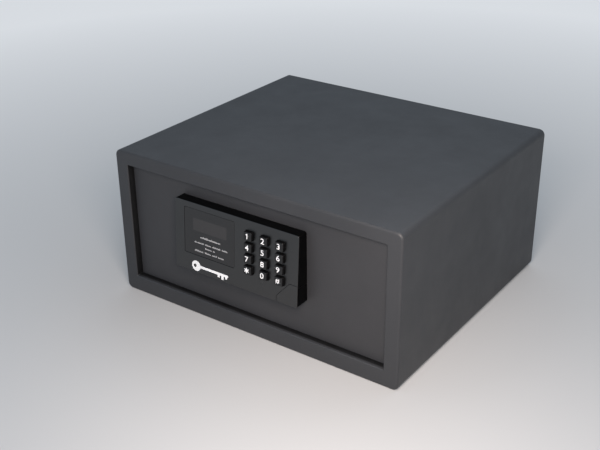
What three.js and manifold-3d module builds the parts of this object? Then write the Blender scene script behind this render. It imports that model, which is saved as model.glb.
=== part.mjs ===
// In-room (hotel) safe: folded steel carcass, recessed door on two hidden pins,
// motor-driven bolt work behind the door, and a plastic lock housing with a
// display window and a twelve-key pad on the front of the door.
//
// Units are millimetres. +X is to the right of a person facing the door, +Y is
// into the safe, +Z is up. The origin is the middle of the underside.
// The safe is drawn closed and unlocked: door shut, bolts drawn back.

import * as THREE from 'three';
import { mergeVertices } from 'three/addons/utils/BufferGeometryUtils.js';
import Module from 'manifold-3d';

// ---------------------------------------------------------------- dimensions
const WIDTH = 420;            // carcass, left to right
const HEIGHT = 200;           // carcass, bottom to top
const DEPTH = 364;            // carcass, front plane to back plane
const SHEET = 2;              // folded sheet
const CORNER_R = 8;           // the four long edges
const FRONT_R = 3;            // rounding of the front edge
const GAP = 0.3;              // between pieces that touch

const FRONT = -DEPTH / 2;     // y of the front plane
const BACK = DEPTH / 2;
const OPEN_X = 190.5;         // door opening, half width
const OPEN_LO = 23;           // door opening, sill
const OPEN_HI = 182;          // door opening, head
const JAMB = 50;              // depth of the returned jambs
const RECESS = 9;             // door face behind the front plane
const DOOR_T = 3;
const DOOR_X = 188.5;
const DOOR_LO = 24.7;
const DOOR_HI = 180.3;
const DOOR_Y = FRONT + RECESS;          // outer face of the door
const DOOR_BACK = DOOR_Y + DOOR_T;

const HINGE_X = 169;          // hinge axis, hidden behind the door's right edge
const HINGE_Y = -166;
const PIN_R = 2.5;

const BOLT_R = 9;
const BOLT_Y = -150;
const BOLT_Z = [72, 128];
const BOLT_TRAVEL = 18;
const BOLT_TIP = -185;        // drawn back

const MODULE = 1.5;           // rack and pinion
const TEETH = 12;
const PITCH_R = MODULE * TEETH / 2;
const RACK_PITCH_Z = 106;
const PINION_X = -40;

const HOUSING = { x0: -106.5, x1: 80, z0: 71, z1: 162.5 };   // lock housing outline
const PROUD_LOW = 20.6;       // how far it stands off the door, lower edge
const PROUD_HIGH = 14.6;      // and upper edge: the face leans back
const FACE_T = 2.6;           // its front wall
const KEY_X = [9.4, 32.2, 55];   // key centres, along the face
const KEY_V = [72.9, 58.2, 43.5, 28.8];   // and up the face
const KEY_W = 12, KEY_H = 11.4, KEY_PROUD = 4.6;
const LOCK_X = 68.5, LOCK_V = 11;         // emergency key lock

const COVER = { x0: -168, x1: 152, z0: 36, z1: 168, y1: -118 };   // inner cover

// ---------------------------------------------------------------- solid tools
const wasm = await Module();
wasm.setup();

function solid(geometry) {
  const g = geometry.clone();
  g.deleteAttribute('normal');
  g.deleteAttribute('uv');
  const m = mergeVertices(g, 1e-4);
  const index = m.index ? Array.from(m.index.array) : [...Array(m.attributes.position.count).keys()];
  return new wasm.Manifold(new wasm.Mesh({
    numProp: 3,
    vertProperties: new Float32Array(m.attributes.position.array),
    triVerts: new Uint32Array(index),
  }));
}

function geometryOf(manifold) {
  const mesh = manifold.getMesh();
  const g = new THREE.BufferGeometry();
  g.setAttribute('position', new THREE.BufferAttribute(new Float32Array(mesh.vertProperties), 3));
  g.setIndex(new THREE.BufferAttribute(new Uint32Array(mesh.triVerts), 1));
  return g;
}

const join = (first, ...rest) => geometryOf(rest.reduce((a, b) => a.add(solid(b)), solid(first)));
const cut = (first, ...rest) => geometryOf(rest.reduce((a, b) => a.subtract(solid(b)), solid(first)));
const common = (first, ...rest) => geometryOf(rest.reduce((a, b) => a.intersect(solid(b)), solid(first)));

function box(x0, x1, y0, y1, z0, z1) {
  const g = new THREE.BoxGeometry(x1 - x0, y1 - y0, z1 - z0);
  g.translate((x0 + x1) / 2, (y0 + y1) / 2, (z0 + z1) / 2);
  return g;
}

function roundRect(x0, x1, z0, z1, r) {
  const s = new THREE.Shape();
  s.moveTo(x0 + r, z0);
  s.lineTo(x1 - r, z0);
  s.absarc(x1 - r, z0 + r, r, -Math.PI / 2, 0, false);
  s.lineTo(x1, z1 - r);
  s.absarc(x1 - r, z1 - r, r, 0, Math.PI / 2, false);
  s.lineTo(x0 + r, z1);
  s.absarc(x0 + r, z1 - r, r, Math.PI / 2, Math.PI, false);
  s.lineTo(x0, z0 + r);
  s.absarc(x0 + r, z0 + r, r, Math.PI, 1.5 * Math.PI, false);
  s.closePath();
  return s;
}

function polygon(points) {
  const s = new THREE.Shape();
  points.forEach(([a, b], i) => (i ? s.lineTo(a, b) : s.moveTo(a, b)));
  s.closePath();
  return s;
}

const TO_Y = new THREE.Matrix4().makeRotationX(Math.PI / 2);
const TO_X = new THREE.Matrix4().set(0, 0, 1, 0, 1, 0, 0, 0, 0, 1, 0, 0, 0, 0, 0, 1);

// an outline in (x, z) drawn out along Y
function alongY(shape, y0, y1, segments = 6) {
  const g = new THREE.ExtrudeGeometry(shape, { depth: y1 - y0, bevelEnabled: false, curveSegments: segments });
  g.applyMatrix4(TO_Y);
  g.translate(0, y1, 0);
  return g;
}

// an outline in (x, y) drawn out along Z
function alongZ(shape, z0, z1, segments = 6) {
  const g = new THREE.ExtrudeGeometry(shape, { depth: z1 - z0, bevelEnabled: false, curveSegments: segments });
  g.translate(0, 0, z0);
  return g;
}

// turned pieces: profile pairs are [radius, distance along the axis]
function turned(profile, segments = 24) {
  return new THREE.LatheGeometry(profile.map(([r, h]) => new THREE.Vector2(r, h)), segments);
}
function turnedX(profile, x, y, z, segments) {
  const g = turned(profile, segments);      // axis +Y -> +X
  g.rotateZ(-Math.PI / 2);
  g.translate(x, y, z);
  return g;
}
function turnedY(profile, x, y, z, segments) {
  const g = turned(profile, segments);
  g.translate(x, y, z);
  return g;
}
function turnedZ(profile, x, y, z, segments) {
  const g = turned(profile, segments);      // axis +Y -> +Z
  g.rotateX(Math.PI / 2);
  g.translate(x, y, z);
  return g;
}
const rodX = (r, x0, x1, y, z, n) => turnedX([[0, 0], [r, 0], [r, x1 - x0], [0, x1 - x0]], x0, y, z, n);
const rodY = (r, y0, y1, x, z, n) => turnedY([[0, 0], [r, 0], [r, y1 - y0], [0, y1 - y0]], x, y0, z, n);
const rodZ = (r, z0, z1, x, y, n) => turnedZ([[0, 0], [r, 0], [r, z1 - z0], [0, z1 - z0]], x, y, z0, n);

function tube(points, r, sides, steps) {
  const path = new THREE.CatmullRomCurve3(points.map((p) => new THREE.Vector3(...p)), false, 'centripetal');
  const section = new THREE.Shape();
  for (let i = 0; i < sides; i++) {
    const a = 2 * Math.PI * i / sides;
    if (i) section.lineTo(r * Math.cos(a), r * Math.sin(a)); else section.moveTo(r, 0);
  }
  section.closePath();
  return new THREE.ExtrudeGeometry(section, { steps, bevelEnabled: false, extrudePath: path });
}

const safe = new THREE.Group();
function place(name, geometry, color, roughness, metalness, parent = safe) {
  const mesh = new THREE.Mesh(geometry, new THREE.MeshStandardMaterial({ color, roughness, metalness }));
  mesh.name = name;
  parent.add(mesh);
  return mesh;
}

const PAINT = [0x3f434a, 0.62, 0.1];
const ABS = [0x15161a, 0.42, 0];
const ZINC = [0xb4b6b4, 0.36, 1];
const BRIGHT = [0xc9cbcc, 0.25, 1];

// ---------------------------------------------------------------- carcass
const half = WIDTH / 2;

{ // sheet folded round the four long edges, with four floor anchor holes
  const outer = alongY(roundRect(-half, half, 0, HEIGHT, CORNER_R), FRONT + 4 + GAP, BACK);
  const inner = alongY(roundRect(-half + SHEET, half - SHEET, SHEET, HEIGHT - SHEET, CORNER_R - SHEET), FRONT - 5, BACK + 5);
  const holes = [];
  for (const x of [-140, 140]) for (const y of [-90, 110]) holes.push(rodZ(5, -1, SHEET + 1, x, y, 16));
  place('body_wrap', cut(outer, inner, ...holes), ...PAINT);
}

{ // front frame: flat ring with a softened outer edge, and jambs turned back on three sides
  const s = roundRect(-half + FRONT_R, half - FRONT_R, FRONT_R, HEIGHT - FRONT_R, CORNER_R - FRONT_R);
  const blank = new THREE.ExtrudeGeometry(s, { depth: 6, bevelEnabled: true, bevelThickness: FRONT_R, bevelSize: FRONT_R, bevelSegments: 3, curveSegments: 6 });
  blank.applyMatrix4(TO_Y);
  blank.translate(0, FRONT + FRONT_R + 6, 0);
  const ring = cut(blank, box(-300, 300, FRONT + 4, 0, -50, 300));
  const jambs = cut(box(-OPEN_X, OPEN_X + SHEET, FRONT + 3, FRONT + JAMB, OPEN_LO - SHEET, OPEN_HI + SHEET),
    box(-OPEN_X - 5, OPEN_X, FRONT - 5, 0, OPEN_LO, OPEN_HI));
  const opening = alongY(roundRect(-OPEN_X, OPEN_X, OPEN_LO, OPEN_HI, 1), FRONT - 5, FRONT + 10, 2);
  const pins = [rodZ(PIN_R + GAP, OPEN_HI - 5, OPEN_HI + 8, HINGE_X, HINGE_Y, 16), rodZ(PIN_R + GAP, OPEN_LO - 8, OPEN_LO + 5, HINGE_X, HINGE_Y, 16)];
  const cutRing = cut(ring, opening);
  place('front_frame', cut(join(cutRing, jambs), ...pins), ...PAINT);
}

{ // fourth jamb: a stouter plate with two square strike slots for the bolts
  const plate = box(-OPEN_X - GAP - 2.5, -OPEN_X - GAP, FRONT + 4 + GAP, FRONT + JAMB, OPEN_LO - SHEET, OPEN_HI + SHEET);
  const slots = BOLT_Z.map((z) => box(-200, -180, BOLT_Y - BOLT_R - 1.5, BOLT_Y + BOLT_R + 1.5, z - BOLT_R - 1.5, z + BOLT_R + 1.5));
  place('strike_plate', cut(plate, ...slots), ...PAINT);
}

{ // back panel let into the wrap, with two wall anchor holes
  const plate = alongY(roundRect(-half + SHEET + GAP, half - SHEET - GAP, SHEET + GAP, HEIGHT - SHEET - GAP, CORNER_R - SHEET - GAP), BACK - SHEET, BACK);
  place('back_panel', cut(plate, rodY(6, 160, 200, -120, 140, 20), rodY(6, 160, 200, 120, 140, 20)), ...PAINT);
}
for (const [name, x] of [['hole_plug_left', -120], ['hole_plug_right', 120]]) {
  const y = BACK - SHEET;                  // inner face of the back panel
  place(name, turnedY([[0, -1.8], [7.4, -1.8], [8.4, -GAP], [5.5, -GAP], [5.4, 1.6], [0, 1.6]], x, y, 140, 14), 0x17181a, 0.7, 0);
}
place('floor_mat', alongZ(roundRect(-203, 203, -128, 176, 4), SHEET + GAP, SHEET + GAP + 3, 3), 0x26282b, 0.95, 0);

// hinge pins drop through the head and sill into the door's hinge blocks
place('hinge_pin_top', turnedZ([[0, -16], [1.8, -16], [PIN_R, -15.2], [PIN_R, 2 + GAP], [4.2, 2 + GAP], [4.2, 4], [3.4, 4.6], [0, 4.6]], HINGE_X, HINGE_Y, OPEN_HI, 20), ...BRIGHT);
place('hinge_pin_bottom', turnedZ([[0, -4.6], [3.4, -4.6], [4.2, -4], [4.2, -2 - GAP], [PIN_R, -2 - GAP], [PIN_R, 15.2], [1.8, 16], [0, 16]], HINGE_X, HINGE_Y, OPEN_LO, 20), ...BRIGHT);

// ---------------------------------------------------------------- door
const tilt = Math.atan2(PROUD_LOW - PROUD_HIGH, HOUSING.z1 - HOUSING.z0);
const faceLowY = DOOR_Y - PROUD_LOW;
const lockZ = HOUSING.z0 + LOCK_V * Math.cos(tilt);

place('door_plate', cut(
  alongY(roundRect(-DOOR_X, DOOR_X, DOOR_LO, DOOR_HI, 1.5), DOOR_Y, DOOR_BACK, 3),
  rodY(8, -190, -150, LOCK_X, lockZ, 24),
  alongY(roundRect(17, 43, 134, 146, 6), -190, -150, 5),
), ...PAINT);

for (const [name, z0, z1, hole0, hole1] of [['hinge_block_top', 163, 178, 165.5, 180], ['hinge_block_bottom', 27, 42, 25, 39.5]]) {
  place(name, cut(
    alongZ(roundRect(HINGE_X - 10, HINGE_X + 8, DOOR_BACK + GAP, -158.6, 1.5), z0, z1, 3),
    rodZ(PIN_R + GAP, hole0, hole1, HINGE_X, HINGE_Y, 20),
  ), ...PAINT);
}

{ // lock chassis: a tray behind the door whose left wall guides the bolts
  const y0 = DOOR_BACK + GAP, t = 1.5;
  const g = join(
    box(-165.4, 100, y0, y0 + t, 52, 152),
    box(-165.4, -165.4 + t, y0 + t - 0.5, -134, 52, 152),
    box(-165.4, 100, y0 + t - 0.5, -154, 150.5, 152),
    box(-165.4, 100, y0 + t - 0.5, -154, 52, 53.5),
  );
  place('lock_chassis', cut(g,
    rodX(BOLT_R + 0.4, -175, -160, BOLT_Y, BOLT_Z[0], 28),
    rodX(BOLT_R + 0.4, -175, -160, BOLT_Y, BOLT_Z[1], 28),
    rodY(8.2, -175, -160, LOCK_X, lockZ, 24),
    alongY(roundRect(17, 43, 134, 146, 6), -190, -150, 5),
  ), ...ZINC);
}

const ARM = { z0: 92, z1: RACK_PITCH_Z - 1.6, y0: -151.5, y1: -148.5 };
const SLOT_Z = 98;
const STUDS = [-100, 30];

{ // bolt carriage: an upright that carries both bolts and an arm with the rack
  const upright = box(-139, -136, -160, -140, 58, 142);
  const foot = box(-137, -120, ARM.y0, ARM.y1, 84, 112);
  const arm = box(-121, 62, ARM.y0, ARM.y1, ARM.z0, ARM.z1);
  const pitch = Math.PI * MODULE;
  const teeth = [];
  for (let k = -4; k <= 7; k++) {
    const x = PINION_X + (k + 0.5) * pitch;
    teeth.push(alongY(polygon([[x - 1.6, ARM.z1 - 0.4], [x + 1.6, ARM.z1 - 0.4], [x + 1.05, RACK_PITCH_Z], [x + 0.6, RACK_PITCH_Z + 1.15], [x - 0.6, RACK_PITCH_Z + 1.15], [x - 1.05, RACK_PITCH_Z]]), ARM.y0, ARM.y1));
  }
  const slots = STUDS.map((x) => alongY(roundRect(x - 3.6, x + BOLT_TRAVEL + 3.6, SLOT_Z - 3.3, SLOT_Z + 3.3, 3.2), -170, -130, 5));
  const bores = BOLT_Z.map((z) => rodX(4.3, -150, -130, BOLT_Y, z, 16));
  place('bolt_carriage', cut(join(upright, foot, arm, ...teeth), ...slots, ...bores), ...ZINC);
}
for (const [name, z] of [['bolt_upper', BOLT_Z[1]], ['bolt_lower', BOLT_Z[0]]]) {
  place(name, turnedX([[0, 0], [BOLT_R - 1.5, 0], [BOLT_R, 1.5], [BOLT_R, 45.7], [4, 45.7], [4, 52], [3.2, 52.8], [0, 52.8]], BOLT_TIP, BOLT_Y, z, 24), ...BRIGHT);
}
for (const [name, x] of [['guide_stud_left', STUDS[0]], ['guide_stud_right', STUDS[1]]]) {
  place(name, turnedY([[0, -167.9], [4.6, -167.9], [4.6, -152], [2.8, -152], [2.8, -148.1], [5.4, -148.1], [5.4, -146.6], [4.6, -146], [0, -146]], x, 0, SLOT_Z, 16), ...ZINC);
}

{ // gearbox on two posts, with the shaft bore of the pinion
  const g = join(
    alongY(roundRect(-60, -20, 103, 139, 3), -147.7, -131.5, 3),
    rodY(3.6, -167.9, -147, -55, 133.5, 14), rodY(3.6, -167.9, -147, -25, 133.5, 14),
  );
  place('gearbox', cut(g, rodY(2.4, -150, -137, PINION_X, RACK_PITCH_Z + PITCH_R, 16)), 0xd8d4c6, 0.5, 0);
  place('motor', join(
    turnedX([[0, 0], [11, 0], [12, 1], [12, 31.5], [11, 32.5], [4.5, 32.5], [4.5, 34.5], [0, 34.5]], -19.7, -139.4, 121, 24),
    box(10.5, 15.5, -146.5, -145.7, 119.5, 122.5), box(10.5, 15.5, -133, -132.2, 119.5, 122.5),
  ), ...BRIGHT);
}

{ // drive pinion and its shaft
  const zc = RACK_PITCH_Z + PITCH_R;
  const step = 2 * Math.PI / TEETH;
  const pts = [];
  const polar = (r, a) => [PINION_X + r * Math.sin(a), zc - r * Math.cos(a)];
  for (let i = 0; i < TEETH; i++) {
    const a = i * step;
    pts.push(polar(PITCH_R - 1.75, a - 0.155), polar(PITCH_R, a - 0.108), polar(PITCH_R + 1.15, a - 0.05), polar(PITCH_R + 1.15, a + 0.05), polar(PITCH_R, a + 0.108), polar(PITCH_R - 1.75, a + 0.155));
  }
  place('drive_pinion', join(alongY(polygon(pts), -152.6, -148.2), rodY(2.1, -152.6, -138, PINION_X, zc, 14), rodY(4.2, -154.2, -152.5, PINION_X, zc, 14)), 0xd9c58a, 0.35, 0.9);
}

// ---------------------------------------------------------------- lock housing
// The panel group has its origin on the lower edge of the leaning face:
// local X along the face, local Y up the face, local Z out of the face.
const panel = new THREE.Group();
panel.position.set(0, faceLowY, HOUSING.z0);
panel.rotation.x = Math.PI / 2 - tilt;
safe.add(panel);
panel.updateMatrixWorld(true);
const toWorld = panel.matrixWorld.clone();
const toPanel = toWorld.clone().invert();

const faceBlock = (shape, n0, n1, segments = 4) => {
  const g = new THREE.ExtrudeGeometry(shape, { depth: n1 - n0, bevelEnabled: false, curveSegments: segments });
  g.translate(0, 0, n0);
  return g;
};
const inPanel = (g) => { g.applyMatrix4(toPanel); return g; };

// housing outline, inset by i, from the door up to n below the face
function housingBody(i, n, y1 = DOOR_Y - GAP) {
  const prism = inPanel(alongY(roundRect(HOUSING.x0 + i, HOUSING.x1 - i, HOUSING.z0 + i, HOUSING.z1 - i, Math.max(2.5 - i, 0.6)), -210, y1, 4));
  return cut(prism, faceBlock(polygon([[-200, -50], [200, -50], [200, 150], [-200, 150]]), n, 40));
}
// corner pocket over the emergency key lock, its sloping side moved out by o
const corner = (o) => polygon([[49.8 - o, -12], [95, -12], [95, 28 + o], [68 - 0.449 * o, 28 + o], [49.8 - o, 7.5 + 0.38 * o]]);

const keyShape = (x, v, dx, dv, r) => roundRect(x - dx, x + dx, v - dv, v + dv, r);
const keyList = [];
const names = ['key_1', 'key_2', 'key_3', 'key_4', 'key_5', 'key_6', 'key_7', 'key_8', 'key_9', 'key_star', 'key_0', 'key_hash'];
names.forEach((name, i) => keyList.push({ name, x: KEY_X[i % 3], v: KEY_V[Math.floor(i / 3)] }));

const LENS = { x0: -91.6, x1: -13.8, v0: 23.5, v1: 83.6 };
const LCD = { x: -52, v: 64, w: 52, h: 16.5 };

{
  const cavity = cut(housingBody(2.4, -FACE_T, DOOR_Y + 5), faceBlock(corner(-0.6), -60, 10));
  let shell = cut(housingBody(0, 0), cavity,
    faceBlock(corner(0.25), -2.3, 10),
    faceBlock(corner(-2.6), -60, 10),
    faceBlock(roundRect(LENS.x0 - GAP, LENS.x1 + GAP, LENS.v0 - GAP, LENS.v1 + GAP, 2), -1.45, 10),
    faceBlock(roundRect(LCD.x - LCD.w / 2 - 0.5, LCD.x + LCD.w / 2 + 0.5, LCD.v - LCD.h / 2 - 0.5, LCD.v + LCD.h / 2 + 0.5, 1), -10, 10, 2),
    ...keyList.map((k) => faceBlock(keyShape(k.x, k.v, KEY_W / 2 + 0.35, KEY_H / 2 + 0.35, 1.5), -10, 10, 2)),
  );
  place('lock_housing', shell, ...ABS, panel);
}

{ // corner cover over the emergency key lock: front plate with its right and lower side walls
  const outer = common(housingBody(0, 0), faceBlock(corner(0), -60, 10));
  const hollow = housingBody(2, -2, DOOR_Y + 5);
  const wallClear = faceBlock(polygon([[0, -20], [52.8, -20], [52.8, 9], [70, 25], [120, 25], [120, 60], [0, 60]]), -60, -2);
  place('key_cover', cut(outer, hollow, wallClear), ...ABS, panel);
}

place('display_lens', faceBlock(roundRect(LENS.x0, LENS.x1, LENS.v0, LENS.v1, 1.8), -1.15, -0.15), 0x1c1e22, 0.2, 0, panel);
place('lcd_module', join(
  faceBlock(roundRect(LCD.x - 29, LCD.x + 29, LCD.v - 12, LCD.v + 12, 1), -9.3, -5, 2),
  faceBlock(roundRect(LCD.x - 25.6, LCD.x + 25.6, LCD.v - 7.8, LCD.v + 7.8, 0.6), -5.2, -2.2, 2),
), 0x4a5148, 0.4, 0, panel);
place('circuit_board', faceBlock(polygon([[-100, 6], [44, 6], [46, 12], [59, 30], [72, 34], [72, 86], [-100, 86]]), -11.2, -9.6), 0x1f5a35, 0.5, 0, panel);
place('key_mat', join(
  faceBlock(polygon([[2, 22], [54, 22], [65, 33], [65, 82], [2, 82]]), -9.3, -7.2),
  ...keyList.map((k) => faceBlock(polygon([[k.x - 4.6, k.v - 4.2], [k.x + 4.6, k.v - 4.2], [k.x + 4.6, k.v + 4.2], [k.x - 4.6, k.v + 4.2]]), -7.4, -6.4)),
), 0x8f9092, 0.85, 0, panel);

// keys: cap with a softened crown, and a flange that keeps it behind the face
for (const k of keyList) {
  const s = keyShape(0, 0, KEY_W / 2 - 0.6, KEY_H / 2 - 0.6, 0.7);
  const cap = new THREE.ExtrudeGeometry(s, { depth: KEY_PROUD + 2.2, bevelEnabled: true, bevelThickness: 0.6, bevelSize: 0.6, bevelSegments: 1, curveSegments: 1 });
  cap.translate(0, 0, -2.8);
  const flange = faceBlock(polygon([[-6.8, -6.4], [6.8, -6.4], [6.8, 6.4], [-6.8, 6.4]]), -4.6, -3);
  const key = place(k.name, join(cap, flange), 0x202226, 0.5, 0, panel);
  key.position.set(k.x, k.v, 0);
}

// ---------------------------------------------------------------- emergency key lock
place('lock_cylinder', cut(
  turnedY([[0, -188.5], [7.9, -188.5], [8.5, -187.9], [8.5, -186.6], [7.5, -186.2], [7.5, -153], [0, -153]], LOCK_X, 0, lockZ, 28),
  rodY(4.4, -200, -140, LOCK_X, lockZ, 24),
), ...BRIGHT);
{
  const hex = [];
  for (let i = 0; i < 6; i++) hex.push([LOCK_X + 11.5 * Math.cos(i * Math.PI / 3), lockZ + 11.5 * Math.sin(i * Math.PI / 3)]);
  place('cylinder_nut', cut(alongY(polygon(hex), -167.9, -163.4), rodY(7.8, -180, -150, LOCK_X, lockZ, 24)), ...ZINC);
}
place('key_plug', cut(
  turnedY([[0, -188.8], [4.1, -188.8], [4.1, -152.6], [3, -152.6], [3, -148.2], [0, -148.2]], LOCK_X, 0, lockZ, 24),
  box(LOCK_X - 0.7, LOCK_X + 0.7, -195, -176, lockZ - 3, lockZ + 3),
), 0xc9b27a, 0.3, 1);
place('lock_cam', cut(
  alongY(roundRect(LOCK_X - 5, LOCK_X + 5, lockZ - 19, lockZ + 6, 4.5), -152.2, -149.4, 5),
  rodY(3.3, -160, -140, LOCK_X, lockZ, 16),
), ...ZINC);

// ---------------------------------------------------------------- inner cover
const SCREWS = [[-158, 45], [-158, 159], [-8, 45], [-8, 159], [142, 41.5], [142, 159]];
{
  const c = COVER;
  const outer = alongY(roundRect(c.x0, c.x1, c.z0, c.z1, 6), DOOR_BACK + GAP, c.y1, 4);
  const inner = alongY(roundRect(c.x0 + 2.2, c.x1 - 2.2, c.z0 + 2.2, c.z1 - 2.2, 4), -180, c.y1 - 2.2, 4);
  const bosses = SCREWS.map(([x, z]) => rodY(4, -167, c.y1 - 1, x, z, 10));
  place('inner_cover', cut(join(cut(outer, inner), ...bosses),
    ...SCREWS.map(([x, z]) => rodY(1.8, -180, -100, x, z, 8)),
    ...BOLT_Z.map((z) => rodX(BOLT_R + 0.8, -175, -160, BOLT_Y, z, 20)),
    alongY(roundRect(89, 147, 51, 109, 2), -140, -100, 2),
  ), 0x1b1c1f, 0.6, 0);
}
SCREWS.forEach(([x, z], i) => {
  const y = COVER.y1 + GAP;
  place(`cover_screw_${i + 1}`, turnedY([[0, -42], [1.5, -41], [1.5, 0], [3.5, 0], [3.5, 0.9], [2.6, 1.8], [0, 2.1]], x, y, z, 10), ...ZINC);
});

// battery tray, four cells and the sliding battery door
place('battery_tray', cut(box(86, 150 - 0.6, -141, -120.6, 46, 112), box(87.5, 148, -139.5, -110, 47.5, 110.5)), 0x232427, 0.6, 0);
[55.9, 71.3, 86.7, 102.1].forEach((z, i) => {
  const p = [[0, 0], [7.1, 0.4], [7.1, 49.3], [2.7, 49.3], [2.7, 50.5], [0, 50.5]];
  const flip = i % 2 ? 1 : -1;
  const g = turned(p, 16);
  g.rotateZ(-flip * Math.PI / 2);
  g.translate(flip > 0 ? 92.6 : 92.6 + 50.5, -131.6, z);
  place(`cell_${i + 1}`, g, 0x2f5f8c, 0.35, 0.4);
});
{
  const y0 = COVER.y1 + GAP;
  place('battery_door', join(
    alongY(roundRect(84, 150, 46, 114, 3), y0, y0 + 1.8, 2),
    ...[52, 55, 58].map((z) => box(104, 130, y0 + 1.5, y0 + 2.6, z - 0.6, z + 0.6)),
  ), 0x1b1c1f, 0.6, 0);
}

// leads clipped between the circuit board, the motor and the battery tray
place('motor_lead', tube([[25, -177, 140], [25, -170, 140], [25, -160, 139], [24.5, -150, 133], [21, -142, 125], [16, -139.4, 121.2]], 1.3, 8, 14), 0x9c2a26, 0.5, 0);
place('battery_lead', tube([[35, -177, 140], [35, -170, 140], [38, -160, 141], [56, -150, 140], [84, -138, 130], [100, -131, 119], [104, -130, 113]], 1.3, 8, 18), 0x222326, 0.5, 0);

export default safe;
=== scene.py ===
"""Looks for the in-room safe: textured charcoal paint, black lock housing, printed keys."""
import bpy, bmesh, math, random
from mathutils import Vector, Matrix


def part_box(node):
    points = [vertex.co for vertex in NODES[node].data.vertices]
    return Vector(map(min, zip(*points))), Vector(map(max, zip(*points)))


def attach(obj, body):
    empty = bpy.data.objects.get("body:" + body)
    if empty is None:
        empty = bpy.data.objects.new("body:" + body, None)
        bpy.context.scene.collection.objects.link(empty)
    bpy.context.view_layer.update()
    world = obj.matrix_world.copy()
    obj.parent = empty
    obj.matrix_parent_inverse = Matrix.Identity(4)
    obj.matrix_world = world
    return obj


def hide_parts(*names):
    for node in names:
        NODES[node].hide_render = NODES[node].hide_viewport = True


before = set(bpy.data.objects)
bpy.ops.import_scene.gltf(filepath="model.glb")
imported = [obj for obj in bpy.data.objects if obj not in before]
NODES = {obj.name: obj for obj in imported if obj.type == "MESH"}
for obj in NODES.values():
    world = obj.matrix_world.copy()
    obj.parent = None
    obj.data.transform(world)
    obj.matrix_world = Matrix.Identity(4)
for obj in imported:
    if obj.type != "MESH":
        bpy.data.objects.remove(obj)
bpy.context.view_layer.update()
MM = 0.001
random.seed(7)

# ---------------------------------------------------------------------------
# shared dimensions of the frame, in mm (read back from the CAD nodes where they can be)
HALF_W, TOP, FRONT, BACK = 210.0, 200.0, -182.0, 182.0
OPEN_X, OPEN_LO, OPEN_HI = 190.5, 23.0, 182.0
DOOR_Y = -173.0
H_X0, H_X1, H_Z0, H_Z1 = -106.5, 80.0, 71.0, 162.5
PROUD_LOW, PROUD_HIGH = 20.6, 14.6
TILT = math.atan2(PROUD_LOW - PROUD_HIGH, H_Z1 - H_Z0)
PANEL = Matrix.Translation((0, (DOOR_Y - PROUD_LOW) * MM, H_Z0 * MM)) @ Matrix.Rotation(math.pi / 2 - TILT, 4, "X")
KEY_X = (9.4, 32.2, 55.0)
KEY_V = (72.9, 58.2, 43.5, 28.8)
KEY_PROUD = 4.6
KEYS = ["1", "2", "3", "4", "5", "6", "7", "8", "9", "star", "0", "hash"]


# ---------------------------------------------------------------------------
# node material helpers
def new_material(name):
    m = bpy.data.materials.new(name)
    m.use_nodes = True
    nt = m.node_tree
    bsdf = nt.nodes["Principled BSDF"]
    return m, nt, bsdf


def coords(nt, scale=(1, 1, 1)):
    tc = nt.nodes.new("ShaderNodeTexCoord")
    mp = nt.nodes.new("ShaderNodeMapping")
    mp.inputs["Scale"].default_value = scale
    nt.links.new(tc.outputs["Object"], mp.inputs["Vector"])
    return mp.outputs["Vector"]


def noise(nt, vec, scale, detail=3.0, rough=0.5):
    n = nt.nodes.new("ShaderNodeTexNoise")
    n.inputs["Scale"].default_value = scale
    n.inputs["Detail"].default_value = detail
    n.inputs["Roughness"].default_value = rough
    nt.links.new(vec, n.inputs["Vector"])
    return n.outputs["Fac"]


def ramp(nt, fac, stops):
    r = nt.nodes.new("ShaderNodeValToRGB")
    while len(r.color_ramp.elements) > 1:
        r.color_ramp.elements.remove(r.color_ramp.elements[-1])
    first = True
    for pos, col in stops:
        e = r.color_ramp.elements[0] if first else r.color_ramp.elements.new(pos)
        e.position = pos
        e.color = (*col, 1) if len(col) == 3 else col
        first = False
    nt.links.new(fac, r.inputs["Fac"])
    return r.outputs["Color"]


def remap(nt, fac, lo, hi, a=0.0, b=1.0):
    r = nt.nodes.new("ShaderNodeMapRange")
    r.inputs["From Min"].default_value = a
    r.inputs["From Max"].default_value = b
    r.inputs["To Min"].default_value = lo
    r.inputs["To Max"].default_value = hi
    nt.links.new(fac, r.inputs["Value"])
    return r.outputs["Result"]


def mix(nt, fac, a, b, blend="MIX"):
    m = nt.nodes.new("ShaderNodeMix")
    m.data_type = "RGBA"
    m.blend_type = blend
    if isinstance(fac, (int, float)):
        m.inputs["Factor"].default_value = fac
    else:
        nt.links.new(fac, m.inputs["Factor"])
    for sock, v in ((m.inputs[6], a), (m.inputs[7], b)):
        if isinstance(v, tuple):
            sock.default_value = (*v, 1) if len(v) == 3 else v
        else:
            nt.links.new(v, sock)
    return m.outputs[2]


def math_node(nt, op, a, b=None):
    m = nt.nodes.new("ShaderNodeMath")
    m.operation = op
    for sock, v in ((m.inputs[0], a), (m.inputs[1], b)):
        if v is None:
            continue
        if isinstance(v, (int, float)):
            sock.default_value = v
        else:
            nt.links.new(v, sock)
    return m.outputs[0]


def bump(nt, height, strength, distance, below=None):
    b = nt.nodes.new("ShaderNodeBump")
    b.inputs["Strength"].default_value = strength
    b.inputs["Distance"].default_value = distance
    nt.links.new(height, b.inputs["Height"])
    if below is not None:
        nt.links.new(below, b.inputs["Normal"])
    return b.outputs["Normal"]


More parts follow.
